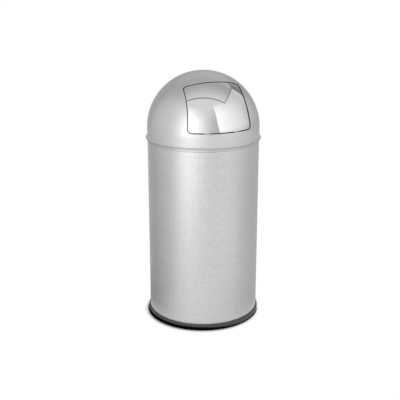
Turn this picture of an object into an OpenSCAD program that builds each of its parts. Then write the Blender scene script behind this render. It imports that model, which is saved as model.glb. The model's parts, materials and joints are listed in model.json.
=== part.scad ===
// Dome-top waste receptacle: a round sheet-steel bin with a lift-off dome, a sprung push flap and a
// bucket inside. Millimetres, +Z up. The origin is on the axis, on the floor; the push flap faces -Y.

/* [Body] */
// Outer diameter of the cylinder
body_d = 340; // [300:5:380]
// Height of the cylinder's top edge above the floor
body_h = 566; // [480:1:640]
// Thickness of the body's sheet
body_t = 0.8; // [0.6:0.1:1.2]
// Height of the folded band round the body's top edge
hem_h = 9.5; // [5:0.5:14]

/* [Base] */
// How far the floor ring stands out from the cylinder
ring_out = 4.5; // [3:0.5:8]
// Height of the floor ring
ring_h = 16; // [10:1:20]
// Height of the steel floor inside the body
floor_z = 20; // [20:1:30]

/* [Dome] */
// Outer radius of the dome
dome_r = 171; // [168:0.5:172]
// Height of the dome's straight skirt, from the underside of its lip
skirt_h = 27.7; // [20:0.1:36]
// Thickness of the dome's sheet
dome_t = 0.8; // [0.6:0.1:1.2]
// Radius of the lip's rolled edge
lip_r = 2.2; // [1.2:0.1:2.6]

/* [Push flap] */
// Width of the doorway at its bottom
door_w = 197.5; // [184:0.5:200]
// How much each side of the doorway leans in for each unit of height
door_lean = 0.1; // [0.07:0.01:0.12]
// Height of the doorway's bottom edge above the dome's centre
door_low = 13.5; // [13:0.5:20]
// Tilt of the plane that cuts the doorway's top edge
door_tilt = 34; // [32:1:35]
// Distance of that plane from the dome's centre
door_top = 76.8; // [76:0.1:80]
// Corner radius of the doorway
door_round = 12; // [8:1:18]
// Gap below the flap and at its sides
flap_gap = 2; // [1.5:0.1:2.5]
// Gap above the flap
flap_top_gap = 0.8; // [0.6:0.1:2]
// How far the flap's face lies below the dome's
flap_recess = 1.5; // [1.2:0.1:3]
// Depth of the flap's folded edge
flap_edge = 7; // [5:0.5:8]

/* [Hinge] */
// Radius of the hinge pin
pin_r = 3; // [2.5:0.1:3.2]
// Distance of the hinge pin in front of the dome's axis
pin_front = 55; // [53:0.5:57]
// Height of the hinge pin above the dome's centre
pin_up = 139; // [138:0.5:140]

/* [Bucket] */
// Outer diameter of the bucket at its top
bucket_d = 300; // [280:2:304]
// Outer diameter of the bucket at its foot
bucket_foot_d = 293; // [270:1:300]
// Thickness of the bucket's sheet
bucket_t = 0.6; // [0.5:0.1:1]
// Height of the centre of the bucket's rolled rim above the floor
bucket_rim_z = 551; // [480:1:552]
// Radius of the wire handle
wire_r = 2.5; // [2:0.1:3]

/* [Hidden] */
$fn = 96;

body_r = body_d / 2;
body_in = body_r - body_t;
clear = 0.05;                          // room between pieces that touch and don't move
rest_gap = 0.3;                        // room between pieces that touch and move apart
past = 1;                              // how far a cut runs past what it cuts

// Floor ring: a channel that the body and its floor stand in
ring_floor = 3;                        // thickness under the body's edge
ring_lip = 2.5;                        // thickness of the channel's inner wall
ring_step = 2;                         // the channel's inner wall is this much lower than its outer wall
ring_round = 3;                        // radius of its outer top edge
ring_foot_round = 0.8;                 // radius of its outer bottom edge
ring_lip_round = 1;                    // radius of its inner wall's top edge
bead_r = 106;                          // middle of the bead pressed into the floor
bead_w = 12;                           // width of that bead
bead_h = 2.5;                          // height of that bead
seam_w = 7;                            // width of the body's back seam
seam_h = 0.3;                          // how far the seam stands out
seam_above = 1;                        // the seam starts this far above the floor ring
seam_below = 4;                        // the seam ends this far below the folded band's height

// Dome
lip_z = body_h + rest_gap;             // underside of the lip
lip_mid = lip_z + dome_t - lip_r;      // height of the centre of its rolled edge
lip_x = body_r + body_t + rest_gap + lip_r; // radius of that centre, which keeps the edge clear of the body
dome_z = lip_z + skirt_h;              // height of the dome's centre
dome_in = dome_r - dome_t;
collar_depth = 24;                     // how far the collar reaches into the body, which locates the dome
collar_gap = 1.2;                      // room between collar and body
collar_step = 1.2;                     // height of the collar's step above the body's edge
collar_bevel = 0.4;                    // the step's corners are this much higher inside
collar_t = 0.8;
collar_weld = 15;                      // height of the band that is welded to the skirt

// Push flap
flap_r = dome_r - flap_recess;
flap_t = 0.8;
flap_in = flap_r - flap_t;
round_steps = 10;                      // flats in each rounded corner of the doorway
corner_up = 120;                       // height of the doorway's top corners above its bottom edge
corner_in = 0.4;                       // the top cut is this much narrower there than the leaning sides
top_half = door_w / 2 - corner_up * door_lean - corner_in;
top_lean = 0.09;                       // lean of the sides just below its top corners
side_room = 40;                        // the top cut leaves the sides alone below this depth

// Hinge
pin_angle = atan2(pin_up, pin_front);  // seen from the side, above the horizontal
pin_dist = norm([pin_front, pin_up]);
eye_r = 7;                             // radius of the metal round the hinge pin
bracket_x = 52;                        // inner face of each bracket
bracket_t = 2;
foot_w = 10;                           // width of each welded foot
foot_t = 1.5;
foot_half = 9.5;                       // half length of a welded foot
arm_x = 36;                            // inner face of each flap arm
arm_t = 2;
arm_foot_angle = 48;                   // side-view angle of an arm's welded foot
bush_r = 4.6;                          // outer radius of a nylon bush
bush_flange_r = 6.2;
bush_flange_t = 1.2;
pin_run = 0.05;                        // running clearance round the pin
head_r = 5;
head_t = 2;
pin_tail = 4;                          // length of the pin outside the right bracket
clip_t = 0.8;
clip_in = 2.45;                        // inner radius of the ring clip

// Outline of a flap arm below its eye: distances from the dome's centre and side-view angles
arm_outline = [[pin_dist + eye_r - 1, pin_angle - 2], [pin_dist + 7, 60], [dome_r, 57], [dome_r, 40],
               [pin_dist + 8, 42], [pin_dist - eye_r + 1, pin_angle - 2]];

// Torsion springs
spring_wire = 0.8;                     // radius of the wire
spring_coil = 4.3;                     // radius of the coil's centre line
spring_turns = 5;
spring_l = 10.4;                       // length of the coil
spring_x = 40.3;                       // where the coil starts, beside the bush
dome_leg = 27;                         // length of the leg that bears on the dome
flap_leg = 45;                         // length of the leg that bears on the flap
leg_gap = 0.25;                        // room at the legs' ends
spring_steps = 20;                     // rings in one turn
spring_sides = 8;

// Closing stops
tab_x = 45;                            // middle of each stop tab
tab_w = 16;
tab_t = 1.2;
tab_depth = 2.6;                       // depth of a tab's face below the flap's
tab_low = 2.5;                         // bottom of a tab above the dome's centre
pad_r = 5;
pad_z = 8;

// Bucket
bucket_r = bucket_d / 2;
bucket_foot_r = bucket_foot_d / 2;
bucket_z = floor_z + rest_gap;
bucket_recess = 6;                     // height of the bucket's bottom above its foot
foot_seam_h = 5;                       // height of the seam round its foot
curl_r = 3;                            // outer radius of the rolled rim
curl_t = 0.6;
curl_lap = 0.1;                        // the rolled rim starts this far inside the wall's inner face
curl_x = bucket_r - bucket_t - curl_lap + curl_r;
curl_start = 0.73;                     // the wall ends this far below the curl's centre, inside its metal
handle_z = bucket_rim_z + curl_r + wire_r + rest_gap;
handle_out = 0.3;                      // the handle's arc lies this far outside the middle of the rim
handle_r = curl_x + handle_out;
elbow_r = 3.5;                         // bend where the handle turns into its ear
elbow_angle = asin(elbow_r / (handle_r - elbow_r));
hook_in = 2.5;                         // how far the handle's straight ends pass the ears
hook_head = 1.5;                       // height and thickness of the head on each end
sleeve_t = 0.02;
sleeve_half = 0.3;                     // half length of a sleeve
ear_w = 18;
ear_t = 2;
ear_x = bucket_r - 1.4;                // outer face of an ear
ear_l = 43;                            // from the centre of its lower end to the handle
ear_low = handle_z - ear_l;
ear_run = 0.08;                        // clearance of the handle in its eye
rivet_r = 2;
rivet_head_r = 4;
rivet_head_t = 1.6;
rivet_z = [ear_low + 4, ear_low + 21]; // heights of the two rivets in an ear

sheet_steel = "silver";
satin_steel = "lightgray";
mirror_steel = "gainsboro";
galvanised = "darkgray";

// ---------- helpers ----------

function unit(v) = v / norm(v);

// The points of an arc of radius r that rounds corner b between a and c
function corner_arc(a, b, c, r) =
    let (u = unit(a - b), w = unit(c - b), half = acos(u * w) / 2, mid = b + unit(u + w) * r / sin(half),
         from = b + u * r / tan(half) - mid, to = b + w * r / tan(half) - mid,
         start = atan2(from[1], from[0]), turn = (atan2(to[1], to[0]) - start + 540) % 360 - 180)
    [for (i = [0:round_steps])
        let (a = start + turn * i / round_steps)
        mid + r * [cos(a), sin(a)]];

// A polygon's points with each corner rounded to its own radius; 0 leaves it sharp
function rounded(points, radii) =
    let (n = len(points))
    [for (i = [0:n - 1])
        let (before = points[(i + n - 1) % n], after = points[(i + 1) % n])
        each (radii[i] > 0 ? corner_arc(before, points[i], after, radii[i]) : [points[i]])];

// Moves its children to the right-hand side (1) or mirrors them to the left (-1)
module on_side(side) mirror([side < 0 ? 1 : 0, 0, 0]) children();

// Extrudes a side view, drawn as y and z, from x to x + thickness
module side_plate(x, thickness) translate([x, 0, 0]) rotate([90, 0, 90]) linear_extrude(thickness) children();

// A cylinder along X
module bar_x(r, x, length) translate([x, 0, 0]) rotate([0, 90, 0]) cylinder(r = r, h = length);

// The space between two balls
module ball_shell(inner, outer) difference() {
    sphere(outer, $fn = 180);
    sphere(inner, $fn = 180);
}

// A point seen from the side, from its distance and its angle above the front horizontal
function polar(r, angle) = [-r * cos(angle), r * sin(angle)];

// A closed round tube along a path that never runs along X
module wire(path, r) {
    n = len(path);
    s = spring_sides;
    tangents = [for (i = [0:n - 1]) unit(path[min(i + 1, n - 1)] - path[max(i - 1, 0)])];
    rings = [for (i = [0:n - 1])
        let (t = tangents[i], side = unit([1, 0, 0] - t[0] * t), up = cross(t, side))
        for (k = [0:s - 1])
            let (a = k * 360 / s)
            path[i] + r * (cos(a) * side + sin(a) * up)];
    sides = [for (i = [0:n - 2], k = [0:s - 1])
        [i * s + k, (i + 1) * s + k, (i + 1) * s + (k + 1) % s, i * s + (k + 1) % s]];
    start_cap = [[for (k = [0:s - 1]) k]];
    end_cap = [[for (k = [s - 1:-1:0]) (n - 1) * s + k]];
    polyhedron(points = rings, faces = concat(sides, start_cap, end_cap), convexity = 6);
}

// ---------- body ----------

// Rolled sheet with a band folded out round its top edge and a welded seam at the back
module body_shell() color(sheet_steel) {
    rotate_extrude() {
        translate([body_in, ring_floor + clear]) square([body_t, body_h - body_t - ring_floor - clear]);
        translate([body_r, body_h - body_t - hem_h]) square([body_t, hem_h]);
        translate([body_r, body_h - body_t]) intersection() {
            circle(body_t);
            translate([-body_t, 0]) square([2 * body_t, body_t]);
        }
    }
    intersection() {
        difference() {
            cylinder(r = body_r + seam_h, h = body_h - hem_h - seam_below);
            translate([0, 0, -past]) cylinder(r = body_r - body_t / 2, h = body_h);
        }
        translate([-seam_w / 2, 0, ring_h + seam_above]) cube([seam_w, body_r + past, body_h]);
    }
}

// Pressed steel floor, turned down at its edge, with a stiffening bead
module base_plate() color(galvanised) {
    edge = body_in - clear;
    low = floor_z - body_t;
    rotate_extrude() polygon([
        [edge, ring_floor + clear], [edge, floor_z], [bead_r + bead_w / 2, floor_z],
        [bead_r + bead_w / 2 - bead_h, floor_z + bead_h], [bead_r - bead_w / 2 + bead_h, floor_z + bead_h],
        [bead_r - bead_w / 2, floor_z], [0, floor_z], [0, low], [bead_r - bead_w / 2, low],
        [bead_r - bead_w / 2 + bead_h, low + bead_h], [bead_r + bead_w / 2 - bead_h, low + bead_h],
        [bead_r + bead_w / 2, low], [edge - body_t, low], [edge - body_t, ring_floor + clear]]);
}

// Black floor ring, a channel round the body's bottom edge
module base_ring() color("dimgray") {
    out = body_r + ring_out;
    inner = body_in - body_t - 2 * clear;
    rotate_extrude() polygon(rounded(
        [[inner - ring_lip, 0], [out, 0], [out, ring_h], [body_r + clear, ring_h],
         [body_r + clear, ring_floor], [inner, ring_floor], [inner, ring_h - ring_step],
         [inner - ring_lip, ring_h - ring_step]],
        [0, ring_foot_round, ring_round, 0, 0, 0, 0, ring_lip_round]));
}

// ---------- bucket ----------

// Places its children at the foot of each rivet, on both sides
module at_rivets() for (side = [-1, 1], z = rivet_z) on_side(side) translate([0, 0, z]) children();

// Tapered galvanised wall, rolled over at the top and seamed at the foot
module bucket_shell() color(galvanised) difference() {
    rotate_extrude() {
        polygon([[bucket_foot_r - bucket_t, bucket_z], [bucket_foot_r, bucket_z],
                 [bucket_r, bucket_rim_z - curl_start], [bucket_r - bucket_t, bucket_rim_z - curl_start]]);
        translate([curl_x, bucket_rim_z]) difference() {
            circle(curl_r);
            circle(curl_r - curl_t);
        }
        translate([bucket_foot_r - bucket_t / 2, bucket_z]) square([bucket_t * 1.5, foot_seam_h]);
    }
    at_rivets() bar_x(rivet_r + clear, ear_x, curl_x - ear_x);
}

// Round bottom, turned down inside the wall
module bucket_bottom() color(galvanised) {
    edge = bucket_foot_r - bucket_t - clear;
    top = bucket_z + bucket_recess;
    rotate_extrude() {
        translate([0, top - bucket_t]) square([edge, bucket_t]);
        translate([edge - bucket_t, bucket_z]) square([bucket_t, bucket_recess]);
    }
}

// Wire inside the rolled rim
module bucket_rim_wire() color(galvanised)
    rotate_extrude() translate([curl_x, bucket_rim_z]) circle(curl_r - curl_t - 2 * clear);

// Lug that the handle hooks into, riveted inside the wall
module bucket_ear(side) color("gray") on_side(side) difference() {
    side_plate(ear_x - ear_t, ear_t) difference() {
        union() {
            translate([-ear_w / 2, ear_low]) square([ear_w, handle_z - ear_low]);
            translate([0, handle_z]) circle(ear_w / 2);
            translate([0, ear_low]) circle(ear_w / 2);
        }
        translate([0, handle_z]) circle(wire_r + ear_run);
    }
    for (z = rivet_z) translate([0, 0, z]) bar_x(rivet_r + clear, ear_x - ear_t - past, ear_t + 2 * past);
}

// Four rivets: shank, inner head and outer head
module bucket_ear_rivets() color("gray") at_rivets() {
    inner = ear_x - ear_t - clear - rivet_head_t;
    outer = bucket_r + clear;
    bar_x(rivet_r, inner, outer - inner + rivet_head_t);
    bar_x(rivet_head_r, inner, rivet_head_t);
    bar_x(rivet_head_r, outer, rivet_head_t);
}

// Wire handle lying back on the rim, with an upset head at each end; a hair-thin sleeve joins each
// straight or bent length to the next
module bucket_handle() color("gray") translate([0, 0, handle_z]) {
    rotate([0, 0, elbow_angle]) rotate_extrude(angle = 180 - 2 * elbow_angle, $fn = 180)
        translate([handle_r, 0]) circle(wire_r, $fn = 48);
    for (side = [-1, 1]) on_side(side) {
        bend = (handle_r - elbow_r) * cos(elbow_angle);
        inside = ear_x - ear_t - hook_in;
        translate([bend, elbow_r, 0]) {
            rotate([0, 0, -90]) rotate_extrude(angle = 90 + elbow_angle) translate([elbow_r, 0])
                circle(wire_r, $fn = 48);
            for (turn = [0, 90 + elbow_angle]) rotate([0, 0, turn]) translate([0, -elbow_r, 0])
                bar_x(wire_r + sleeve_t, -sleeve_half, 2 * sleeve_half);
        }
        bar_x(wire_r, inside, bend - inside);
        bar_x(wire_r + hook_head, inside - hook_head, hook_head);
    }
}

// ---------- dome ----------

// The prism that cuts the doorway, made smaller by inset, or by top_inset at its top: a front cut for the
// bottom and the sides, and a tilted cut for the top
module doorway(inset, top_inset) translate([0, 0, dome_z]) intersection() {
    reach = 2 * dome_r;
    half = door_w / 2 - inset;
    tall = dome_r;
    rotate([90, 0, 0]) linear_extrude(reach) polygon(rounded(
        [[-half, door_low + inset], [half, door_low + inset], [half - door_lean * tall, door_low + tall],
         [door_lean * tall - half, door_low + tall]],
        [door_round - inset, door_round - inset, 0, 0]));
    high = door_top - top_inset;
    top = top_half - inset;
    bend = top + top_lean * side_room;
    rotate([90 - door_tilt, 0, 0]) linear_extrude(reach) polygon(rounded(
        [[top, high], [-top, high], [-bend, high - side_room], [-dome_r, high - 2 * side_room],
         [-dome_r, -dome_r], [dome_r, -dome_r], [dome_r, high - 2 * side_room], [bend, high - side_room]],
        [door_round - inset, door_round - inset, 0, 0, 0, 0, 0, 0]));
}

// Spun dome with a straight skirt, a rolled lip and the doorway
module dome_shell() color(satin_steel) difference() {
    rotate_extrude($fn = 180) {
        translate([0, dome_z]) intersection() {
            difference() {
                circle(dome_r);
                circle(dome_in);
            }
            square(dome_r + past);
        }
        translate([dome_in, lip_z]) square([dome_t, skirt_h]);
        translate([dome_in, lip_z]) square([lip_x - dome_in, dome_t]);
        translate([lip_x, lip_mid]) circle(lip_r, $fn = 48);
    }
    doorway(0, 0);
}

// Stepped collar welded inside the skirt, which drops into the body
module dome_collar() color(galvanised) {
    outer = body_in - collar_gap;
    weld = dome_in - clear;
    low = body_h - collar_depth;
    step = body_h + collar_step;
    top = step + weld - outer;
    rotate_extrude() polygon([
        [outer, low], [outer, step], [weld, top], [weld, top + collar_weld],
        [weld - collar_t, top + collar_weld], [weld - collar_t, top + collar_bevel],
        [outer - collar_t, step + collar_bevel], [outer - collar_t, low]]);
}

// ---------- hinge ----------

// A welded foot: a patch of a ball's skin, r in its outer radius, round the side-view angle
module welded_foot(r, angle, x, half_length) intersection() {
    ball_shell(r - foot_t, r);
    rotate([-angle, 0, 0]) translate([x, -r, -half_length]) cube([foot_w, r, 2 * half_length]);
}

// Bracket welded inside the dome above the doorway, which holds one end of the pin
module hinge_bracket(side) color(galvanised) on_side(side) translate([0, 0, dome_z]) {
    reach = dome_in - clear;
    intersection() {
        side_plate(bracket_x, bracket_t) difference() {
            union() {
                translate(polar(pin_dist, pin_angle)) circle(eye_r);
                rotate(-pin_angle) translate([-dome_r, -eye_r]) square([dome_r - pin_dist, 2 * eye_r]);
            }
            translate(polar(pin_dist, pin_angle)) circle(pin_r + clear);
        }
        sphere(reach, $fn = 180);
    }
    welded_foot(reach, pin_angle, bracket_x, foot_half);
}

// Hinge pin with a flat head on the left and a groove on the right
module hinge_pin() color("dimgray") translate([0, -pin_front, dome_z + pin_up]) {
    left = -bracket_x - bracket_t - clear;
    right = -left;
    difference() {
        bar_x(pin_r, left, right - left + pin_tail);
        difference() {
            bar_x(pin_r + past, right, clip_t + 2 * clear);
            bar_x(clip_in - clear, right - past, clip_t + 3 * past);
        }
    }
    bar_x(head_r, left - head_t, head_t);
}

// Ring clip in the pin's groove
module hinge_pin_clip() color("dimgray") translate([0, -pin_front, dome_z + pin_up]) difference() {
    bar_x(head_r, bracket_x + bracket_t + 2 * clear, clip_t);
    bar_x(clip_in, bracket_x, bracket_t + clip_t + 2 * past);
}

// Flanged nylon bush in a flap arm
module hinge_bush(side) color("white") on_side(side) translate([0, -pin_front, dome_z + pin_up])
    difference() {
        union() {
            bar_x(bush_r, arm_x, arm_t + clear);
            bar_x(bush_flange_r, arm_x + arm_t + clear, bush_flange_t);
        }
        bar_x(pin_r + pin_run, arm_x - past, arm_t + bush_flange_t + 3 * past);
    }

// ---------- push flap ----------

// Mirror-finished panel, curved like the dome, with its edge folded in
module flap_panel() color(mirror_steel) intersection() {
    doorway(flap_gap, flap_top_gap);
    translate([0, 0, dome_z]) difference() {
        ball_shell(flap_r - flap_edge, flap_r);
        intersection() {
            sphere(flap_in, $fn = 180);
            translate([0, 0, -dome_z]) doorway(flap_gap + flap_t, flap_top_gap + flap_t);
        }
    }
}

// Arm from the back of the flap to the hinge pin, with a welded foot
module flap_arm(side) color(galvanised) on_side(side) translate([0, 0, dome_z]) {
    reach = flap_in - clear;
    eye = polar(pin_dist, pin_angle);
    intersection() {
        side_plate(arm_x, arm_t) difference() {
            union() {
                translate(eye) circle(eye_r);
                polygon([for (p = arm_outline) polar(p[0], p[1])]);
            }
            translate(eye) circle(bush_r + clear);
        }
        sphere(reach, $fn = 180);
    }
    welded_foot(reach, arm_foot_angle, arm_x - foot_w + arm_t, foot_half);
}

// The angle between a spring's leg and the line from the dome's centre to the pin, when the leg's end is r
// from that centre
function leg_angle(length, r) =
    let (span = norm([length, spring_coil]))
    acos((r * r - pin_dist * pin_dist - span * span) / (2 * pin_dist * span)) + atan2(spring_coil, length);

// Distance from the dome's centre, seen from the side, at which wire at x bears on a ball of radius r
function bearing(r, x) = sqrt(r * r - x * x) - spring_wire - leg_gap;

// Directions of the legs, from +Y towards +Z
flap_leg_dir = 180 - pin_angle + leg_angle(flap_leg, bearing(flap_in, spring_x));
dome_leg_dir = 180 - pin_angle - leg_angle(dome_leg, bearing(dome_in, spring_x + spring_l));
coil_from = flap_leg_dir - 90;
coil_to = dome_leg_dir + 90 - 360 * spring_turns;

// A point of the coil's centre line, from 0 at the flap's leg to 1 at the dome's leg
function coil_point(share) =
    let (turn = coil_from + (coil_to - coil_from) * share)
    [spring_x + spring_l * share, spring_coil * cos(turn), spring_coil * sin(turn)];

// Torsion spring round the pin, with one leg behind the dome and one behind the flap
module flap_spring(side) color("dimgray") on_side(side) translate([0, -pin_front, dome_z + pin_up]) {
    steps = round(spring_turns * spring_steps);
    flap_end = coil_point(0) + flap_leg * [0, cos(flap_leg_dir), sin(flap_leg_dir)];
    dome_end = coil_point(1) + dome_leg * [0, cos(dome_leg_dir), sin(dome_leg_dir)];
    wire(concat([flap_end], [for (i = [0:steps]) coil_point(i / steps)], [dome_end]), spring_wire);
}

// Bent tab under the flap's bottom edge that reaches down behind the dome
module stop_tab(side) color(galvanised) on_side(side) translate([0, 0, dome_z]) {
    out = flap_r - tab_depth;
    under = door_low + flap_gap - clear;
    intersection() {
        union() {
            ball_shell(out - tab_t, out);
            intersection() {
                ball_shell(flap_r - flap_edge, out);
                translate([0, -dome_r, under - tab_t]) cube([2 * tab_x, dome_r, tab_t]);
            }
        }
        translate([tab_x - tab_w / 2, -dome_r, tab_low]) cube([tab_w, dome_r, under - tab_low]);
    }
}

// Rubber pad on a stop tab, which closes against the inside of the dome
module stop_pad(side) color("black") on_side(side) translate([0, 0, dome_z]) intersection() {
    ball_shell(flap_r - tab_depth + clear, dome_in - rest_gap);
    translate([tab_x, 0, pad_z]) rotate([90, 0, 0]) cylinder(r = pad_r, h = dome_r);
}

body_shell();
base_plate();
base_ring();
bucket_shell();
bucket_bottom();
bucket_rim_wire();
bucket_ear(-1);  // bucket_ear_left
bucket_ear(1);  // bucket_ear_right
bucket_ear_rivets();
bucket_handle();
dome_shell();
dome_collar();
hinge_bracket(-1);  // hinge_bracket_left
hinge_bracket(1);  // hinge_bracket_right
hinge_pin();
hinge_pin_clip();
flap_spring(-1);  // flap_spring_left
flap_spring(1);  // flap_spring_right
flap_panel();
flap_arm(-1);  // flap_arm_left
flap_arm(1);  // flap_arm_right
hinge_bush(-1);  // hinge_bush_left
hinge_bush(1);  // hinge_bush_right
stop_tab(-1);  // stop_tab_left
stop_tab(1);  // stop_tab_right
stop_pad(-1);  // stop_pad_left
stop_pad(1);  // stop_pad_right
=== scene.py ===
import json
import math

import bpy
import numpy as np
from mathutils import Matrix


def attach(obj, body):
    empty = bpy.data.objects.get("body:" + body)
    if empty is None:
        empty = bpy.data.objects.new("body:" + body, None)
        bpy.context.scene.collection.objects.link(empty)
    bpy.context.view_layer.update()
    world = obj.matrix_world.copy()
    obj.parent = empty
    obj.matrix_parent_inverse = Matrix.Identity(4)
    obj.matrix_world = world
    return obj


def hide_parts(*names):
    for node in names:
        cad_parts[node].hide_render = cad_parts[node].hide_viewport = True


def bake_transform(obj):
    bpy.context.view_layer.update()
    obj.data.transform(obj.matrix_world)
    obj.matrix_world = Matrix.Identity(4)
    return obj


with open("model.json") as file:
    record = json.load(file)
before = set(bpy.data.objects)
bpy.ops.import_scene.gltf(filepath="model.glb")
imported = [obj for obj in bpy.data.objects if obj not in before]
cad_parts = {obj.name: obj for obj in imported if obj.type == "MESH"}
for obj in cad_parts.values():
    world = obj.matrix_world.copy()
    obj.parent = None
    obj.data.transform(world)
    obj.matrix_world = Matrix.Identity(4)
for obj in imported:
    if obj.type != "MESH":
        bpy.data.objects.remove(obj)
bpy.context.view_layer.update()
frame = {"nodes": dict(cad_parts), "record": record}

# A round sheet-steel waste receptacle: satin body, spun dome, mirror-finished push flap, black floor ring
# and a lift-out bucket. Metres; the flap faces -Y.

MM = 0.001
LATHE_STEPS = 288                      # columns of the turned pieces
CORNER_STEPS = 6                       # rows in a rounded corner of a turned piece
EDGE_STEPS = 8                         # rows round the edge of a sheet

# Body and floor ring
BODY_R = 170 * MM
BODY_T = 0.8 * MM
BODY_TOP = 566 * MM
BODY_FOOT = 3.05 * MM
HEM_LOW = 555.7 * MM                   # bottom edge of the band folded round the body's top
GROOVE = 0.45 * MM                     # depth of the groove that the folding leaves under the band
SEAM_HALF = 3.5 * MM
SEAM_PROUD = 0.3 * MM
SEAM_LOW = 17 * MM
SEAM_TOP = 552.3 * MM
WELD_PITCH = 32 * MM
WELD_R = 2.2 * MM
RING_OUT = 174.5 * MM
RING_IN = 165.75 * MM
RING_TOP = 16 * MM
RING_IN_TOP = 14 * MM                  # top of its inner wall

# Dome and push flap, with heights above the dome's centre
DOME_Z = 594 * MM
DOME_R = 171 * MM
DOME_T = 0.8 * MM
LIP_Z = 566.3 * MM
LIP_EDGE = (173.28 * MM, 564.9 * MM)   # centre of the rolled edge
LIP_ROLL = 2.2 * MM
LIP_STEPS = 25                         # rows round the rolled edge
DOOR_HALF = 98.75 * MM                 # half its width at its foot
DOOR_LEAN = 0.1                        # how fast its sides lean in
DOOR_LOW = 13.5 * MM                   # height of its foot
DOOR_TILT = math.radians(34)           # lean of the plane that its top is measured in
DOOR_TOP = 76.8 * MM                   # place of its top edge up that plane
DOOR_TOP_HALF = 86.35 * MM
DOOR_TOP_LEAN = 0.09
DOOR_SIDE_ROOM = 40 * MM               # how far below the top edge that plane's outline counts
DOOR_ROUND = 12 * MM                   # radius of its corners
DOOR_AIM = math.radians(34)            # elevation of a line through the middle of the doorway
DOOR_REACH = math.radians(60)          # an angle from that line that is outside the doorway all round
DOOR_HALVINGS = 44                     # steps of the search for the doorway's edge
FLAP_R = 169.5 * MM
FLAP_T = 0.8 * MM
WHOLE_DOOR = (0, 0)                    # the doorway made smaller by so much, and by so much at its top
FLAP_OUTLINE = (2 * MM, 0.8 * MM)
FLAP_INSIDE = (2.8 * MM, 1.6 * MM)
FLAP_FOLD = 162.5 * MM                 # distance of the folded edge's end from the dome's centre
FLAP_BEND = 1.1 * MM
OUTLINE_SAMPLES = 6001                 # points that the doorway's length is measured with
OUTLINE_STEPS = 336                    # columns round the doorway

# Hinge springs, measured from the hinge pin's axis
PIN_Y = -55 * MM
PIN_Z = 733 * MM
WIRE_R = 0.8 * MM
COIL_R = 4.3 * MM
COIL_X = (40.3 * MM, 50.7 * MM)
COIL_TURNS = 5
COIL_STEPS = 28                        # points in each turn
FLAP_LEG = (45 * MM, 198.1)            # length, and direction in degrees from +Y towards +Z
DOME_LEG = (27 * MM, 33.8)
LEG_SHARES = (0.97, 0.5, 0.1)          # where a leg has points, as shares of its length

# The photograph's camera
CAMERA_AT = (-0.7809, -2.2057, 1.0905)
CAMERA_TILT = 72.67
CAMERA_TURN = -19.25
CAMERA_LENS = 70.49


# ---------- small helpers ----------

def unit(v):
    """Each row of v, or v itself, brought to length 1."""
    v = np.asarray(v, float)
    return v / np.linalg.norm(v, axis=-1, keepdims=True)


def add_mesh(name, points, faces, normals):
    """A smooth-shaded object from points, faces and one exact normal for each point."""
    mesh = bpy.data.meshes.new(name)
    mesh.from_pydata([tuple(p) for p in points], [], faces)
    mesh.polygons.foreach_set("use_smooth", [True] * len(mesh.polygons))
    mesh.update()
    mesh.normals_split_custom_set_from_vertices([tuple(n) for n in normals])
    made = bpy.data.objects.new(name, mesh)
    bpy.context.scene.collection.objects.link(made)
    return made


def grid_faces(rows, columns, closed_rows):
    """Quads between rows of a grid whose columns run round and meet."""
    faces = []
    for i in range(rows if closed_rows else rows - 1):
        low = i * columns
        high = (i + 1) % rows * columns
        for j in range(columns):
            k = (j + 1) % columns
            faces.append((low + j, low + k, high + k, high + j))
    return faces


def rounded_profile(corners, closed=True):
    """Points and outward normals of a counterclockwise outline of (r, z, corner radius)."""
    path = np.array([c[:2] for c in corners], float)
    count = len(path)
    points, normals = [], []
    for i, radius in enumerate(c[2] for c in corners):
        if not closed and i in (0, count - 1):
            ahead = unit(path[1] - path[0]) if i == 0 else unit(path[-1] - path[-2])
            points.append(path[i])
            normals.append((ahead[1], -ahead[0]))
            continue
        before = unit(path[i] - path[i - 1])
        after = unit(path[(i + 1) % count] - path[i])
        turn = math.atan2(before[0] * after[1] - before[1] * after[0], before @ after)
        side = math.copysign(radius, turn)
        start = path[i] - before * radius * math.tan(abs(turn) / 2)
        centre = start + side * np.array((-before[1], before[0]))
        for k in range(CORNER_STEPS + 1):
            a = turn * k / CORNER_STEPS
            along = np.array((before[0] * math.cos(a) - before[1] * math.sin(a),
                              before[0] * math.sin(a) + before[1] * math.cos(a)))
            outward = np.array((along[1], -along[0]))
            points.append(centre + side * outward)
            normals.append(outward)
    return np.array(points), np.array(normals)


def turned(name, corners):
    """A piece turned about the Z axis from a closed, rounded outline."""
    points, normals = rounded_profile(corners)
    angles = np.linspace(0, 2 * math.pi, LATHE_STEPS, endpoint=False)
    around = np.stack((np.cos(angles), np.sin(angles), np.zeros(LATHE_STEPS)), axis=1)
    up = np.array((0, 0, 1))
    place = np.concatenate([r * around + z * up for r, z in points])
    facing = np.concatenate([r * around + z * up for r, z in normals])
    return add_mesh(name, place, grid_faces(len(points), LATHE_STEPS, True), facing)


def dress(piece, body, slot, replaced):
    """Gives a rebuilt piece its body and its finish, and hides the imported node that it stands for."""
    piece.data.materials.append(finishes[slot])
    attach(piece, body)
    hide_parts(replaced)
    return piece


# ---------- shader helpers ----------

def feed(tree, socket, value):
    """Links value to a socket if it is one, or else sets it."""
    if isinstance(value, bpy.types.NodeSocket):
        tree.links.new(value, socket)
    else:
        socket.default_value = value


def add_node(tree, kind, inputs, **settings):
    """A shader node with its settings, and inputs by name or number."""
    made = tree.nodes.new("ShaderNode" + kind)
    for key, value in settings.items():
        setattr(made, key, value)
    for key, value in inputs.items():
        feed(tree, made.inputs[key], value)
    return made


def maths(tree, operation, a, b=0.0):
    return add_node(tree, "Math", {0: a, 1: b}, operation=operation).outputs[0]


def remap(tree, value, low, high, smooth=False):
    """Maps value from one pair of numbers to another and keeps it between them."""
    kind = "SMOOTHSTEP" if smooth else "LINEAR"
    return add_node(tree, "MapRange", {0: value, 1: low[0], 2: low[1], 3: high[0], 4: high[1]},
                    interpolation_type=kind).outputs[0]


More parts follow.
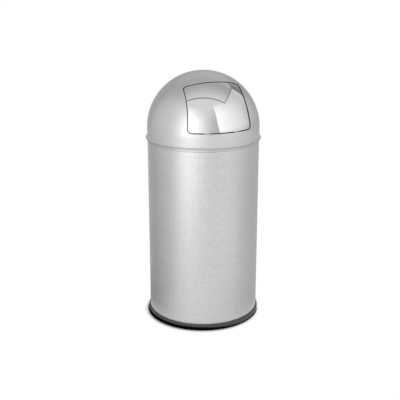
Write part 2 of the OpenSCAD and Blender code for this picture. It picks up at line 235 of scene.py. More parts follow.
def object_place(tree):
    return add_node(tree, "TexCoord", {}).outputs["Object"]


def object_height(tree):
    return add_node(tree, "SeparateXYZ", {0: object_place(tree)}).outputs[2]


def stretched(tree, place, scale):
    """Coordinates scaled along each axis."""
    return add_node(tree, "Mapping", {"Vector": place, "Scale": scale}).outputs[0]


def noise(tree, place, scale, detail=2.0, roughness=0.5):
    return add_node(tree, "TexNoise", {"Vector": place, "Scale": scale, "Detail": detail,
                                       "Roughness": roughness}).outputs["Fac"]


def scaled(tree, colour, factor):
    return add_node(tree, "VectorMath", {0: colour, "Scale": factor}, operation="SCALE").outputs[0]


def shaded(tree, colour, share, low, high):
    """A colour made darker or lighter by share, from low to high times itself."""
    return scaled(tree, colour, remap(tree, share, (0.25, 0.75), (low, high)))


def bumped(tree, height, distance, strength):
    return add_node(tree, "Bump", {"Height": height, "Distance": distance,
                                   "Strength": strength}).outputs["Normal"]


def new_material(name, metallic):
    """A material, its node tree and its shader."""
    material = bpy.data.materials.new(name)
    material.use_nodes = True
    shader = material.node_tree.nodes["Principled BSDF"]
    shader.inputs["Metallic"].default_value = metallic
    return material, material.node_tree, shader


def average(tree, a, b):
    return maths(tree, "MULTIPLY", maths(tree, "ADD", a, b), 0.5)


# ---------- finishes ----------

def body_steel():
    """Satin sheet with fine grain round the cylinder, with painted shade on the folded band at its top and a
    painted dark line in the groove under it.
    """
    material, tree, shader = new_material("body_steel", 1.0)
    fine = noise(tree, stretched(tree, object_place(tree), (26, 26, 2400)), 1.0, 3.0)
    broad = noise(tree, stretched(tree, object_place(tree), (9, 9, 260)), 1.0, 2.0)
    mottle = noise(tree, object_place(tree), 120.0, 3.0, 0.55)
    grain = average(tree, fine, broad)
    tint = shaded(tree, (0.58, 0.58, 0.585), average(tree, grain, mottle), 0.88, 1.12)
    # Painted shade: a dark line in the groove just under the folded band, and the band itself a little
    # darker where the dome's lip overhangs it.
    rise = maths(tree, "SUBTRACT", object_height(tree), HEM_LOW)
    from_crevice = maths(tree, "ABSOLUTE", maths(tree, "ADD", rise, 0.4 * MM))
    crevice_shade = remap(tree, from_crevice, (0.6 * MM, 1.2 * MM), (0.6, 1.0), True)
    band = remap(tree, rise, (0, 2 * MM), (1.0, 0.9))
    feed(tree, shader.inputs["Base Color"], scaled(tree, tint, maths(tree, "MULTIPLY", crevice_shade, band)))
    feed(tree, shader.inputs["Roughness"], remap(tree, grain, (0.25, 0.75), (0.4, 0.5)))
    feed(tree, shader.inputs["Normal"], bumped(tree, fine, 0.02 * MM, 0.5))
    return material


def spun_place(tree):
    """Coordinates for grain that runs in rings round the dome's axis."""
    place = add_node(tree, "SeparateXYZ", {0: object_place(tree)}).outputs
    flat = add_node(tree, "CombineXYZ", {0: place[0], 1: place[1]}).outputs[0]
    out = add_node(tree, "VectorMath", {0: flat}, operation="LENGTH").outputs["Value"]
    height = maths(tree, "SUBTRACT", place[2], DOME_Z)
    angle = maths(tree, "ARCTAN2", out, height)
    rings = maths(tree, "MULTIPLY", angle, DOME_R)
    return add_node(tree, "CombineXYZ", {0: place[0], 1: place[1], 2: rings}).outputs[0]


def cut_edge_shade(tree, height):
    """Painted shade on the sides and foot of the doorway's cut edge, where the sheet faces neither out nor
    in.
    """
    away = add_node(tree, "VectorMath", {0: object_place(tree), 1: (0, 0, DOME_Z)}, operation="SUBTRACT")
    out = add_node(tree, "VectorMath", {0: away.outputs[0]}, operation="NORMALIZE")
    normal = add_node(tree, "TexCoord", {}).outputs["Normal"]
    along = add_node(tree, "VectorMath", {0: normal, 1: out.outputs[0]}, operation="DOT_PRODUCT")
    facing = maths(tree, "ABSOLUTE", along.outputs["Value"])
    skirt = remap(tree, height, (DOME_Z, DOME_Z + 2 * MM), (1, 0))
    high = remap(tree, height, (DOME_Z + 55 * MM, DOME_Z + 85 * MM), (0, 1))
    unshaded = maths(tree, "MAXIMUM", facing, maths(tree, "MAXIMUM", skirt, high))
    return remap(tree, unshaded, (0.4, 0.85), (0.12, 1.0))


def lip_shade_and_highlight(tree, height):
    """Painted shade on the rolled lip, a painted highlight on its top, and a little painted shade above it.
    """
    rise = maths(tree, "SUBTRACT", height, LIP_EDGE[1])
    roll = remap(tree, rise, (1.2 * MM, 2.0 * MM), (0.70, 1.2), True)
    above = remap(tree, rise, (2.6 * MM, 4 * MM), (1.0, 0.83), True)
    return maths(tree, "MULTIPLY", roll, above)


def dome_steel():
    """Spun sheet with faint rings, duller on its skirt, with painted shade and a painted highlight at its
    lip and painted shade on the doorway's cut edge.
    """
    material, tree, shader = new_material("dome_steel", 1.0)
    spun = spun_place(tree)
    fine = noise(tree, stretched(tree, spun, (16, 16, 2000)), 1.0, 3.0)
    broad = noise(tree, stretched(tree, spun, (6, 6, 210)), 1.0, 2.0)
    grain = average(tree, fine, broad)
    tint = shaded(tree, (0.60, 0.60, 0.605), grain, 0.955, 1.045)
    height = object_height(tree)
    # Painted shade and highlight at the lip, and painted shade on the doorway's cut edge.
    painted_light = maths(tree, "MULTIPLY", lip_shade_and_highlight(tree, height), cut_edge_shade(tree, height))
    feed(tree, shader.inputs["Base Color"], scaled(tree, tint, painted_light))
    satin = remap(tree, height, (DOME_Z - 8 * MM, DOME_Z + 16 * MM), (0.12, 0), True)
    feed(tree, shader.inputs["Roughness"],
         maths(tree, "ADD", satin, remap(tree, grain, (0.25, 0.75), (0.35, 0.42))))
    feed(tree, shader.inputs["Normal"], bumped(tree, fine, 0.01 * MM, 0.2))
    return material


def flap_mirror():
    """Mirror-polished sheet with a faint haze and the slight waves of a pressed panel."""
    material, tree, shader = new_material("flap_mirror", 1.0)
    haze = noise(tree, object_place(tree), 36.0, 4.0, 0.6)
    wave = noise(tree, object_place(tree), 9.0, 1.0)
    feed(tree, shader.inputs["Base Color"], shaded(tree, (0.64, 0.64, 0.645), haze, 0.98, 1.02))
    feed(tree, shader.inputs["Roughness"], remap(tree, haze, (0.3, 0.75), (0.035, 0.075)))
    feed(tree, shader.inputs["Normal"], bumped(tree, wave, 0.25 * MM, 0.35))
    return material


def galvanised():
    """Zinc-dipped sheet with crystal spangles."""
    material, tree, shader = new_material("galvanised", 1.0)
    warp = noise(tree, object_place(tree), 60.0, 2.0)
    place = add_node(tree, "VectorMath", {0: object_place(tree), 1: (0.006, 0.006, 0.006), 2: (0, 0, 0)},
                     operation="MULTIPLY_ADD")
    feed(tree, place.inputs[0], add_node(tree, "CombineXYZ", {0: warp, 1: warp, 2: warp}).outputs[0])
    feed(tree, place.inputs[2], object_place(tree))
    cells = add_node(tree, "TexVoronoi", {"Vector": place.outputs[0], "Scale": 130.0})
    spangle = add_node(tree, "SeparateColor", {0: cells.outputs["Color"]}).outputs[0]
    feathers = noise(tree, object_place(tree), 420.0, 3.0)
    mixed = average(tree, spangle, feathers)
    feed(tree, shader.inputs["Base Color"], shaded(tree, (0.56, 0.575, 0.59), mixed, 0.82, 1.12))
    feed(tree, shader.inputs["Roughness"], remap(tree, mixed, (0.2, 0.8), (0.42, 0.62)))
    feed(tree, shader.inputs["Normal"], bumped(tree, feathers, 0.02 * MM, 0.4))
    return material


def zinc_plate():
    """Bright zinc on pressings and wire, dulled in patches."""
    material, tree, shader = new_material("zinc_plate", 1.0)
    patches = noise(tree, object_place(tree), 85.0, 4.0, 0.6)
    specks = noise(tree, object_place(tree), 900.0, 2.0)
    feed(tree, shader.inputs["Base Color"], shaded(tree, (0.6, 0.61, 0.625), patches, 0.88, 1.06))
    feed(tree, shader.inputs["Roughness"], remap(tree, patches, (0.25, 0.75), (0.24, 0.4)))
    feed(tree, shader.inputs["Normal"], bumped(tree, specks, 0.02 * MM, 0.4))
    return material


def spring_steel():
    """Oiled spring wire."""
    material, tree, shader = new_material("spring_steel", 1.0)
    drawn = noise(tree, object_place(tree), 500.0, 3.0)
    feed(tree, shader.inputs["Base Color"], shaded(tree, (0.3, 0.3, 0.31), drawn, 0.8, 1.15))
    feed(tree, shader.inputs["Roughness"], remap(tree, drawn, (0.25, 0.75), (0.28, 0.42)))
    return material


def ring_plastic():
    """Black moulded plastic with a fine spark-eroded grain."""
    material, tree, shader = new_material("ring_plastic", 0.0)
    grain = noise(tree, object_place(tree), 1600.0, 2.0)
    scuffs = noise(tree, stretched(tree, object_place(tree), (30, 30, 160)), 1.0, 4.0, 0.6)
    feed(tree, shader.inputs["Base Color"], shaded(tree, (0.042, 0.042, 0.043), scuffs, 0.85, 1.2))
    feed(tree, shader.inputs["Roughness"], remap(tree, scuffs, (0.3, 0.7), (0.4, 0.52)))
    feed(tree, shader.inputs["Normal"], bumped(tree, grain, 0.04 * MM, 0.5))
    return material


def nylon():
    """Natural nylon, slightly translucent."""
    material, tree, shader = new_material("nylon", 0.0)
    cloud = noise(tree, object_place(tree), 240.0, 3.0)
    shader.inputs["Subsurface Weight"].default_value = 0.25
    shader.inputs["Subsurface Radius"].default_value = (0.002, 0.002, 0.0016)
    feed(tree, shader.inputs["Base Color"], shaded(tree, (0.83, 0.82, 0.78), cloud, 0.95, 1.03))
    feed(tree, shader.inputs["Roughness"], remap(tree, cloud, (0.3, 0.7), (0.38, 0.5)))
    return material


def rubber():
    """Matt black rubber."""
    material, tree, shader = new_material("rubber", 0.0)
    dust = noise(tree, object_place(tree), 700.0, 4.0, 0.65)
    feed(tree, shader.inputs["Base Color"], shaded(tree, (0.028, 0.028, 0.028), dust, 0.8, 1.4))
    feed(tree, shader.inputs["Roughness"], remap(tree, dust, (0.3, 0.7), (0.68, 0.85)))
    feed(tree, shader.inputs["Normal"], bumped(tree, dust, 0.05 * MM, 0.5))
    return material


finishes = {
    "body_steel": body_steel(),
    "dome_steel": dome_steel(),
    "flap_mirror": flap_mirror(),
    "galvanised": galvanised(),
    "zinc_plate": zinc_plate(),
    "spring_steel": spring_steel(),
    "ring_plastic": ring_plastic(),
    "nylon": nylon(),
    "rubber": rubber(),
}


# ---------- studio ----------

TURN = math.radians(CAMERA_TURN)
STUDIO = np.array(((math.cos(TURN), math.sin(TURN), 0), (math.sin(TURN), -math.cos(TURN), 0), (0, 0, 1)))
PANEL_STEPS = 32
PANEL_LOW = 0.004                      # height of the panels' lowest edges above the floor
WALL_R = 1.5                           # distances of the panels from the bin's axis
BACK_WALL_R = 1.9
CARD_R = 1.2
LOW_WALL_R = 0.95
SCREEN_R = 0.42
SWEEP_R = 0.2
FLAG_R = 0.1765
CEILING_Z = 1.88
SHADE_REACH = 0.035                    # how far the shade on the floor spreads


def in_studio(point):
    """A point given as right of the camera's line of sight, towards the camera, and up."""
    return np.asarray(point, float) @ STUDIO


def lit_panel(name, place, glow, shades=False):
    """A studio panel that only reflections show: its place, and its brightness across and up it."""
    share = np.linspace(0, 1, PANEL_STEPS + 1)
    points = [in_studio(place(u, v)) for v in share for u in share]
    wide = PANEL_STEPS + 1
    faces = [(j * wide + i, j * wide + i + 1, (j + 1) * wide + i + 1, (j + 1) * wide + i)
             for j in range(PANEL_STEPS) for i in range(PANEL_STEPS)]
    mesh = bpy.data.meshes.new(name)
    mesh.from_pydata([tuple(p) for p in points], [], faces)
    levels = mesh.attributes.new("glow", "FLOAT", "POINT")
    levels.data.foreach_set("value", [float(glow(u, v)) for v in share for u in share])
    mesh.materials.append(panel_light)
    panel = bpy.data.objects.new(name, mesh)
    bpy.context.scene.collection.objects.link(panel)
    panel.visible_camera = False
    panel.visible_shadow = shades


def level(z, left, right, front, back):
    """A flat ceiling panel: v runs from its back to its front."""
    def place(u, v):
        return left + u * (right - left), back + v * (front - back), z
    return place


def curved(radius, first, last, low, high):
    """An upright wall round the bin's axis, between two azimuths right of the line to the camera."""
    return swept((radius, low), (radius, high), first, last)


def swept(foot, top, first, last):
    """A panel turned about the bin's axis, between two (radius, height) and two azimuths."""
    def place(u, v):
        a = math.radians(first + u * (last - first))
        radius = foot[0] + v * (top[0] - foot[0])
        return radius * math.sin(a), radius * math.cos(a), foot[1] + v * (top[1] - foot[1])
    return place


def stops(first, last, table):
    """Brightness from first to last, from a few (place, brightness) pairs with straight lines between."""
    places, levels = zip(*table)
    return lambda share: float(np.interp(first + share * (last - first), places, levels))


def panel_material():
    """Emission whose strength is the panel's glow."""
    material = bpy.data.materials.new("panel_light")
    material.use_nodes = True
    tree = material.node_tree
    tree.nodes.clear()
    glow = add_node(tree, "Attribute", {}, attribute_name="glow").outputs["Fac"]
    light = add_node(tree, "Emission", {"Color": (1, 1, 1, 1), "Strength": glow}).outputs[0]
    add_node(tree, "OutputMaterial", {"Surface": light})
    return material


def soft_step(x, low, high):
    """0 below low, 1 above high, smooth between."""
    t = min(max((x - low) / (high - low), 0), 1)
    return t * t * (3 - 2 * t)


panel_light = panel_material()


def make_world():
    """Plain white surroundings."""
    world = bpy.data.worlds.new("studio")
    world.use_nodes = True
    background = world.node_tree.nodes["Background"]
    background.inputs["Color"].default_value = (1, 1, 1, 1)
    background.inputs["Strength"].default_value = 1.0
    bpy.context.scene.world = world


def floor_material():
    """White floor that darkens close to what stands on it."""
    material = bpy.data.materials.new("floor_white")
    material.use_nodes = True
    tree = material.node_tree
    tree.nodes.clear()
    lean = add_node(tree, "Normal", {})
    lean.outputs[0].default_value = tuple(in_studio(unit((0.2, -0.5, 1.0))))
    open_sky = add_node(tree, "AmbientOcclusion", {"Distance": SHADE_REACH, "Normal": lean.outputs[0]},
                        samples=16).outputs["AO"]
    shade = remap(tree, open_sky, (0.46, 0.77), (0, 1), True)
    white = add_node(tree, "Emission", {"Strength": shade}).outputs[0]
    add_node(tree, "OutputMaterial", {"Surface": white})
    return material


def make_floor():
    """Square floor, just under the bin's foot."""
    half = 4.0
    under = 0.2 * MM
    mesh = bpy.data.meshes.new("floor")
    mesh.from_pydata([(-half, -half, -under), (half, -half, -under), (half, half, -under),
                      (-half, half, -under)], [], [(0, 1, 2, 3)])
    mesh.materials.append(floor_material())
    floor = bpy.data.objects.new("floor", mesh)
    bpy.context.scene.collection.objects.link(floor)


def make_ceiling():
    """Ceiling that brightens towards its front edge, with dark rims along that edge and its right one."""
    left, right, back, front = -1.6, 1.07, -2.7, 0.54
    rim_left, rim_back, rim_front, side_rim_back = 1.02, 0.5, 0.56, -0.9
    rim_z, rim_glow = CEILING_Z - 1 * MM, 0.3
    glow = stops(back, front, ((-2.7, 0.7), (-1.2, 0.72), (-0.8, 0.56), (-0.5, 0.47), (-0.2, 0.52),
                               (0, 0.60), (0.35, 0.80), (0.54, 0.86)))
    lit_panel("ceiling", level(CEILING_Z, left, right, front, back),
              lambda u, v: glow(v) * (0.98 + 0.2 * u))
    lit_panel("ceiling_rim", level(rim_z, left, right, rim_front, rim_back), lambda u, v: rim_glow)
    lit_panel("ceiling_side_rim", level(rim_z, rim_left, right, rim_back, side_rim_back),
              lambda u, v: rim_glow)


def make_front_wall():
    """Key light left of the camera, fading to grey right of it and to plain white above."""
    first, last, top = -80, 28, 2.6
    key = stops(first, last, ((-80, 0.8), (-61, 0.84), (-50, 1.0), (-40, 1.9), (-34, 2.3), (-27, 2.3),
                              (-20, 1.9), (-7, 1.42), (5, 1.06), (17, 0.77), (28, 0.68)))
    fade = stops(PANEL_LOW, top, ((0, 1), (1.0, 1), (1.2, 0.88), (1.56, 0.46), (2.04, 0.16), (2.4, 0)))
    lit_panel("front_wall", curved(WALL_R, first, last, PANEL_LOW, top),
              lambda u, v: 1 + (key(u) - 1) * fade(v))


def make_front_wall_foot():
    """Grey wedge at the front wall's right end, widest at the floor."""
    first, foot_last, height, glow = 28, 35, 1.05, 0.68
    radius = WALL_R - 10 * MM

    def place(u, v):
        a = math.radians(first + u * (1 - v) * (foot_last - first))
        return radius * math.sin(a), radius * math.cos(a), PANEL_LOW + v * height
    lit_panel("front_wall_foot", place, lambda u, v: glow)


def make_low_wall():
    """Low wall in front of the bin, brightest at its left."""
    first, last, top = -44, 62, 0.27
    glow = stops(first, last, ((-44, 1.0), (-36, 1.6), (-24, 1.6), (-14, 1.1), (0, 1.0), (24, 1.0),
                               (30, 1.12), (52, 1.12), (62, 1.0)))
    lit_panel("low_wall", curved(LOW_WALL_R, first, last, PANEL_LOW, top), lambda u, v: glow(u))


def make_right_wall():
    """Bright wall at the right, dimmer near the floor, at its near end's top and low at its far end."""
    first, last, top = 28, 127, 2.4
    upper = stops(first, last, ((28, 1.6), (105, 0.87), (127, 0.85)))
    lower = stops(first, last, ((28, 1.1), (105, 0.6), (127, 0.55)))

    def glow(u, v):
        z = PANEL_LOW + v * (top - PANEL_LOW)
        up = soft_step(z, 0.35, 0.75)
        top_fall = 1 - 0.19 * soft_step(z, 1.5, 2.4) * (1 - u)
        far_fall = 1 - 0.16 * soft_step(u, 0.6, 0.85) * (1 - soft_step(z, 0.9, 1.4))
        return (upper(u) * up + lower(u) * (1 - up)) * top_fall * far_fall
    lit_panel("right_wall", curved(WALL_R, first, last, PANEL_LOW, top), glow)


def make_left_screen():
    """Grey screen beside and behind the bin at the left, lighter in its upper half."""
    first, last, top = -180, -60, 1.05
    low = stops(first, last, ((-180, 0.55), (-150, 0.6), (-117, 0.62), (-110, 0.38), (-98, 0.37),
                              (-90, 0.52), (-76, 0.60), (-60, 0.70)))
    high = stops(first, last, ((-180, 0.55), (-122, 0.50), (-112, 0.40), (-106, 0.65), (-90, 0.75),
                               (-76, 0.81), (-60, 0.88)))

    def glow(u, v):
        up = soft_step(v, 0.42, 0.57)
        lift = 1 + 0.09 * soft_step(v, 0.14, 0.26)
        return low(u) * lift * (1 - up) + high(u) * up
    lit_panel("left_screen", curved(SCREEN_R, first, last, PANEL_LOW, top), glow)


def make_left_low_screen():
    """Lower screen that goes on from the left one towards the front."""
    first, last, top = -60, -42, 0.5
    glow = stops(first, last, ((-60, 0.70), (-50, 0.80), (-42, 1.0)))
    lit_panel("left_low_screen", curved(SCREEN_R, first, last, PANEL_LOW, top), lambda u, v: glow(u))


def make_right_screen():
    """Grey screen beside and behind the bin at the right."""
    first, last, top = 60, 180, 0.56
    glow = stops(first, last, ((60, 0.85), (76, 0.72), (90, 0.67), (104, 0.61), (180, 0.6)))
    lit_panel("right_screen", curved(SCREEN_R, first, last, PANEL_LOW, top), lambda u, v: glow(u))


def make_foot_flag():
    """Black strip round the front of the floor ring, which keeps light off the ring's lower part."""
    first, last = -150, 80
    height = stops(first, last, ((-150, 0.001), (-110, 0.008), (0, 0.008), (45, 0.002), (80, 0.001)))

    def place(u, v):
        a = math.radians(first + u * (last - first))
        return FLAG_R * math.sin(a), FLAG_R * math.cos(a), v * height(u)
    lit_panel("foot_flag", place, lambda u, v: 0, shades=True)


def make_sweep():
    """Grey sweep on the floor between the bin and the screens, white in front."""
    first, last = -180, 180
    glow = stops(first, last, ((-180, 0.5), (-140, 0.38), (-92, 0.32), (-80, 0.40), (-68, 0.5), (-57, 0.62),
                               (-44, 0.77), (-32, 0.94), (-20, 1.02), (0, 1.0), (20, 0.92), (32, 0.87),
                               (43, 0.80), (55, 0.71), (70, 0.64), (93, 0.6), (180, 0.55)))
    lit_panel("sweep", swept((SWEEP_R, PANEL_LOW), (SCREEN_R, PANEL_LOW), first, last), lambda u, v: glow(u))


def make_dark_card():
    """Dark card high up behind the bin at the right, lighter towards its far end."""
    first, last, low, top = 127, 152, 1.1, 1.75
    lit_panel("dark_card", curved(CARD_R, first, last, low, top), lambda u, v: 0.24 + 0.3 * u)


def make_back_wall():
    """Grey wall behind it all, lighter at its top."""
    first, last, top = 127, 280, 2.2
    glow = stops(PANEL_LOW, top, ((0, 0.5), (1.2, 0.5), (1.7, 0.62), (2.2, 0.62)))
    lit_panel("back_wall", curved(BACK_WALL_R, first, last, PANEL_LOW, top), lambda u, v: glow(v))


def make_panels():
    """The walls, ceiling and screens that the polished steel reflects."""
    make_ceiling()
    make_front_wall()
    make_front_wall_foot()
    make_low_wall()
    make_right_wall()
    make_left_screen()
    make_left_low_screen()
    make_right_screen()
    make_foot_flag()
    make_sweep()
    make_dark_card()
    make_back_wall()


def make_camera():
    """The photograph's camera."""
    data = bpy.data.cameras.new("camera")
    data.lens = CAMERA_LENS
    camera = bpy.data.objects.new("camera", data)
    camera.location = CAMERA_AT
    camera.rotation_euler = (math.radians(CAMERA_TILT), 0, TURN)
    bpy.context.scene.collection.objects.link(camera)
    bpy.context.scene.camera = camera


# ---------- body ----------

def make_body():
    """Rolled sheet whose top edge is folded out into a band."""
    inner = BODY_R - BODY_T
    outer = BODY_R + BODY_T
    slope = 0.9 * MM
    corners = [
        (inner, BODY_FOOT, 0.2 * MM), (BODY_R, BODY_FOOT, 0.2 * MM),
        (BODY_R, HEM_LOW - 3 * slope, 0.8 * MM), (BODY_R - GROOVE, HEM_LOW - 1.6 * slope, 0.5 * MM),
        (BODY_R - GROOVE, HEM_LOW, 0.1 * MM), (outer, HEM_LOW, 0.3 * MM),
        (outer, BODY_TOP, BODY_T * 0.98), (inner, BODY_TOP, BODY_T * 0.98),
        (inner, HEM_LOW, 0.5 * MM), (inner - GROOVE, HEM_LOW - slope, 0.5 * MM),
        (inner, HEM_LOW - 3 * slope, 0.5 * MM),
    ]
    dress(turned("body_skin", corners), "body", "body_steel", "body_shell")


def make_seam():
    """Overlap at the back of the body, spot-welded all the way up."""
    across, along = 20, 420
    sunk = 0.05 * MM
    points = []
    for z in np.linspace(SEAM_LOW, SEAM_TOP, along):
        beside = abs((z - SEAM_LOW) % WELD_PITCH - WELD_PITCH / 2)
        for s in np.linspace(-1, 1, across):
            shoulder = 1 - soft_step(abs(s), 0.78, 1.0)
            dent = max(0, 1 - math.hypot(s * SEAM_HALF, beside) / WELD_R) ** 0.7 * 0.5
            r = BODY_R - sunk + (SEAM_PROUD + sunk) * shoulder * (1 - dent)
            a = s * SEAM_HALF / BODY_R
            points.append((r * math.sin(a), r * math.cos(a), z))
    points = np.array(points).reshape(along, across, 3)
    side = np.gradient(points, axis=1)
    up = np.gradient(points, axis=0)
    normals = unit(np.cross(up, side)).reshape(-1, 3)
    faces = [(i * across + j, (i + 1) * across + j, (i + 1) * across + j + 1, i * across + j + 1)
             for i in range(along - 1) for j in range(across - 1)]
    seam = add_mesh("body_seam", points.reshape(-1, 3), faces, normals)
    dress(seam, "body", "body_steel", "body_shell")


def make_ring():
    """Moulded channel round the foot of the body."""
    channel = BODY_R + 0.05 * MM
    inner = BODY_R - BODY_T - 0.9 * MM
    corners = [
        (RING_IN, 0, 0.5 * MM), (RING_OUT, 0, 0.8 * MM), (RING_OUT, RING_TOP, 3 * MM),
        (channel, RING_TOP, 0.3 * MM), (channel, 3 * MM, 0.2 * MM), (inner, 3 * MM, 0.2 * MM),
        (inner, RING_IN_TOP, 0.3 * MM), (RING_IN, RING_IN_TOP, 1 * MM),
    ]
    dress(turned("floor_ring", corners), "body", "ring_plastic", "base_ring")


# ---------- doorway ----------

AIM = np.array((0, -math.cos(DOOR_AIM), math.sin(DOOR_AIM)))
AIM_UP = np.array((0, math.sin(DOOR_AIM), math.cos(DOOR_AIM)))
AIM_SIDE = np.array((1.0, 0, 0))


def rounded_corner(across, along, corner, end_normal, side_normal, radius):
    """How far points lie outside a corner, rounded to radius, between an end and a side."""
    p = np.stack((across, along), axis=-1)
    n1, n2 = unit(end_normal), unit(side_normal)
    limits = np.array((np.dot(n1, corner) - radius, np.dot(n2, corner) - radius))
    centre = np.linalg.solve(np.array((n1, n2)), limits)
    offset = p - centre
    flat = np.maximum(offset @ n1, offset @ n2) - radius
    turn = np.sign(n1[0] * n2[1] - n1[1] * n2[0])
    after = (n1[0] * offset[..., 1] - n1[1] * offset[..., 0]) * turn
    before = (offset[..., 0] * n2[1] - offset[..., 1] * n2[0]) * turn
    in_wedge = (after > 0) & (before > 0)
    return np.where(in_wedge, np.linalg.norm(offset, axis=-1) - radius, flat)


def outside_door(points, insets):
    """Above 0 where a point, measured from the dome's centre, is outside the doorway's prism."""
    inset, top_inset = insets
    x = np.abs(points[..., 0])
    z = points[..., 2]
    v = points[..., 1] * math.sin(DOOR_TILT) + z * math.cos(DOOR_TILT)
    radius = DOOR_ROUND - inset
    front = rounded_corner(x, z, (DOOR_HALF - inset, DOOR_LOW + inset), (0, -1), (1, DOOR_LEAN), radius)
    high = DOOR_TOP - top_inset
    top = rounded_corner(x, v, (DOOR_TOP_HALF - inset, high), (0, 1), (1, DOOR_TOP_LEAN), radius)
    top = np.where(v > high - DOOR_SIDE_ROOM, top, -1.0)
    return np.maximum(front, top)


def spread(angles, distances):
    """Directions at angular distances from the middle of the doorway; angle 0 is up, 90 is +X."""
    angles, distances = np.broadcast_arrays(angles, distances)
    tangent = np.cos(angles)[..., None] * AIM_UP + np.sin(angles)[..., None] * AIM_SIDE
    return np.cos(distances)[..., None] * AIM + np.sin(distances)[..., None] * tangent


def door_edge(angles, radius, insets):
    """Points of the doorway's outline on a ball of that radius."""
    low = np.zeros_like(angles)
    high = np.full_like(angles, DOOR_REACH)
    for _ in range(DOOR_HALVINGS):
        middle = (low + high) / 2
        out = outside_door(radius * spread(angles, middle), insets) > 0
        high = np.where(out, middle, high)
        low = np.where(out, low, middle)
    return radius * spread(angles, low)


def door_angles():
    """Angles round the doorway at even steps along its outline, counterclockwise from outside."""
    angles = np.linspace(0, 2 * math.pi, OUTLINE_SAMPLES)
    edge = door_edge(angles, DOME_R, WHOLE_DOOR)
    length = np.concatenate(((0,), np.cumsum(np.linalg.norm(np.diff(edge, axis=0), axis=1))))
    even = np.linspace(0, length[-1], OUTLINE_STEPS, endpoint=False)
    return -np.interp(even, length, angles)


def ring_tangents(ring):
    return unit(np.roll(ring, -1, axis=0) - np.roll(ring, 1, axis=0))


def toward(ring, other, facing):
    """Unit vectors square to a ring and to the way to the other ring, on facing's side."""
    square = unit(np.cross(ring_tangents(ring), other - ring))
    sign = np.sign(np.sum(square * facing, axis=1, keepdims=True))
    return square * sign


def arc_rows(start, end, steps, bias=1.0):
    """Unit directions on the great circles from start to end, ends left out."""
    start, end = unit(start), unit(end)
    full = np.arccos(np.clip(np.sum(start * end, axis=-1, keepdims=True), -1, 1))
    rows = []
    for k in range(1, steps):
        t = (k / steps) ** bias
        rows.append((np.sin((1 - t) * full) * start + np.sin(t * full) * end) / np.sin(full))
    return rows


def sheet_edge(centre, outward, facing, radius, first, last, steps):
    """Rows of points and normals round a rolled sheet edge, from angle first to last."""
    rows = []
    for a in np.linspace(math.radians(first), math.radians(last), steps + 1):
        normal = math.cos(a) * outward + math.sin(a) * facing
        rows.append((centre + radius * normal, normal))
    return rows


def stack_rows(rows):
    """Points and normals of a list of rows, each a ring of points and a ring of normals."""
    return np.concatenate([r[0] for r in rows]), np.concatenate([r[1] for r in rows])


# ---------- dome ----------

def lip_rows(around):
    """Inner skirt, flange, rolled edge and outer skirt, as rows round the dome."""
    inner = DOME_R - DOME_T
    roll_r, roll_z = LIP_EDGE
    start = math.pi - math.asin((LIP_Z - roll_z) / LIP_ROLL)
    under, under_normals = rounded_profile(
        [(inner, DOME_Z - 2 * MM, 0), (inner, LIP_Z, 0.25 * MM), (roll_r - LIP_ROLL - 0.05 * MM, LIP_Z, 0)],
        closed=False)
    over, over_normals = rounded_profile(
        [(roll_r, LIP_Z + DOME_T, 0), (DOME_R, LIP_Z + DOME_T, 0.5 * MM), (DOME_R, DOME_Z - 2 * MM, 0)],
        closed=False)
    turns = np.linspace(start, 2.5 * math.pi, LIP_STEPS, endpoint=False)
    spin = np.stack((np.cos(turns), np.sin(turns)), axis=1)
    profile = np.concatenate((under, LIP_EDGE + LIP_ROLL * spin, over))
    facing = np.concatenate((under_normals, spin, over_normals))
    up = np.array((0, 0, 1))
    return [(r * around + (z - DOME_Z) * up, nr * around + nz * up)
            for (r, z), (nr, nz) in zip(profile, facing)]


def make_dome():
    """Spun dome with its doorway, skirt and rolled lip."""
    inner_steps, outer_steps, bias = 36, 72, 1.15
    angles = door_angles()
    inner = DOME_R - DOME_T
    outer_edge = door_edge(angles, DOME_R, WHOLE_DOOR)
    inner_edge = door_edge(angles, inner, WHOLE_DOOR)
    middle = (outer_edge + inner_edge) / 2
    into = toward(middle, outer_edge, np.broadcast_to(AIM, middle.shape) - unit(middle))
    centre = middle - into * DOME_T / 2
    rim = sheet_edge(centre, unit(centre), into, DOME_T / 2, 180, 0, EDGE_STEPS)
    equator = np.arctan2(math.sin(DOOR_AIM), -np.cos(angles) * math.cos(DOOR_AIM))
    around = spread(angles, equator)
    around = unit(around * (1, 1, 0))
    inside = [(inner * d, -d) for d in arc_rows(rim[0][0], around, inner_steps, bias)]
    outside = [(DOME_R * d, d) for d in arc_rows(rim[-1][0], around, outer_steps, bias)]
    skirt = [(inner * around, -around)] + lip_rows(around) + [(DOME_R * around, around)]
    rows = rim[:1] + inside + skirt + outside[::-1] + rim[:0:-1]
    points, normals = stack_rows(rows)
    points = points + (0, 0, DOME_Z)
    dome = add_mesh("dome_skin", points, grid_faces(len(rows), OUTLINE_STEPS, True), normals)
    dress(dome, "dome", "dome_steel", "dome_shell")


# ---------- push flap ----------

def cap_faces(last_row, first_tip, last_tip):
    """Triangles that close the first and last rows of a grid, each with a single point."""
    faces = []
    for j in range(OUTLINE_STEPS):
        k = (j + 1) % OUTLINE_STEPS
        faces.append((first_tip, k, j))
        faces.append((last_row + j, last_row + k, last_tip))
    return faces


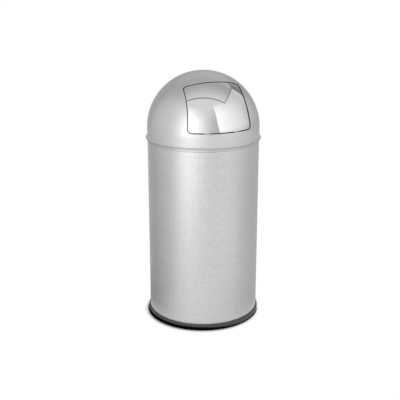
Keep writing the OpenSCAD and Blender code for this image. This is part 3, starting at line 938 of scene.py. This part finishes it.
def make_flap():
    """Mirror-finished panel, curved like the dome, with its edge folded in."""
    inner_steps, outer_steps = 18, 36
    angles = door_angles()
    inner = FLAP_R - FLAP_T
    top_edge = door_edge(angles, FLAP_R, FLAP_OUTLINE)
    low_edge = door_edge(angles, FLAP_FOLD, FLAP_OUTLINE)
    away = unit(top_edge) - AIM
    wall = toward(top_edge, low_edge, away)
    bend_centre = top_edge - FLAP_BEND * (wall + unit(top_edge))
    bend = sheet_edge(bend_centre, unit(top_edge), wall, FLAP_BEND, 90, 0, EDGE_STEPS)
    inner_top = door_edge(angles, inner, FLAP_INSIDE)
    inner_low = door_edge(angles, FLAP_FOLD, FLAP_INSIDE)
    middle = (low_edge + inner_low) / 2
    lip_centre = middle + unit(middle) * FLAP_T / 2
    lip = sheet_edge(lip_centre, wall, -unit(middle), FLAP_T / 2, 180, 0, EDGE_STEPS)
    aim = np.broadcast_to(AIM, top_edge.shape)
    inside = [(inner * d, -d) for d in arc_rows(aim, inner_top, inner_steps)]
    outside = [(FLAP_R * d, d) for d in arc_rows(bend[-1][0], aim, outer_steps)]
    near = 0.3 * MM
    corner = [(inner_top - near * wall, -unit(inner_top)),
              (inner_top - near * unit(inner_top), -wall)]
    rows = inside + corner + lip + bend + outside
    points, normals = stack_rows(rows)
    last_row = (len(rows) - 1) * OUTLINE_STEPS
    faces = grid_faces(len(rows), OUTLINE_STEPS, False)
    faces += cap_faces(last_row, len(points), len(points) + 1)
    points = np.concatenate((points, [inner * AIM, FLAP_R * AIM])) + (0, 0, DOME_Z)
    normals = np.concatenate((normals, [-AIM, AIM]))
    dress(add_mesh("flap_skin", points, faces, normals), "flap", "flap_mirror", "flap_panel")


# ---------- hinge springs ----------

def spring_path():
    """Centre line from the leg behind the flap, round the coil, to the leg behind the dome."""
    low, high = COIL_X
    start = FLAP_LEG[1] - 90
    end = DOME_LEG[1] + 90 - 360 * COIL_TURNS
    share = np.linspace(0, 1, COIL_TURNS * COIL_STEPS)
    turns = np.radians(start + (end - start) * share)
    shift = low + (high - low) * share
    coil = np.stack((shift, COIL_R * np.cos(turns), COIL_R * np.sin(turns)), axis=1)
    legs = []
    for (length, direction), root in ((FLAP_LEG, coil[0]), (DOME_LEG, coil[-1])):
        a = math.radians(direction)
        along = length * np.array((0, math.cos(a), math.sin(a)))
        legs.append([root + part * along for part in LEG_SHARES])
    return np.array(legs[0] + list(coil) + legs[1][::-1])


def tube(name, path, radius, sides=12):
    """A round wire along a path that never runs along X."""
    ahead = unit(np.gradient(path, axis=0))
    side = unit(np.array((1.0, 0, 0)) - ahead[:, :1] * ahead)
    up = np.cross(ahead, side)
    points, normals = [], []
    for p, s, u in zip(path, side, up):
        for k in range(sides):
            a = 2 * math.pi * k / sides
            normals.append(math.cos(a) * s + math.sin(a) * u)
            points.append(p + radius * normals[-1])
    faces = grid_faces(len(path), sides, False)
    for end, sign in ((0, -1), (len(path) - 1, 1)):
        ring = [end * sides + k for k in range(sides)]
        points.append(path[end] + sign * ahead[end] * radius * 0.5)
        normals.append(sign * ahead[end])
        tip = len(points) - 1
        for k in range(sides):
            pair = (ring[k], ring[(k + 1) % sides])
            faces.append((*pair[::sign], tip))
    return add_mesh(name, points, faces, normals)


def make_springs():
    """Two torsion springs, wound between the dome and the flap."""
    path = spring_path()
    for name, side in (("left", -1), ("right", 1)):
        line = path * (side, 1, 1) + (0, PIN_Y, PIN_Z)
        spring = tube("spring_" + name, line if side > 0 else line[::-1], WIRE_R)
        spring.data.materials.append(finishes["spring_steel"])
        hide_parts("flap_spring_" + name)
        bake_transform(spring)


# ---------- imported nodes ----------

def paint_nodes():
    """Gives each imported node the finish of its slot."""
    for row in frame["record"]["subparts"]:
        for place in frame["nodes"][row["node"]].material_slots:
            place.material = finishes[row["material_slot"]]


bpy.context.scene.view_settings.view_transform = "Standard"
make_camera()
make_world()
make_floor()
make_panels()
paint_nodes()
make_body()
make_seam()
make_ring()
make_dome()
make_flap()
make_springs()
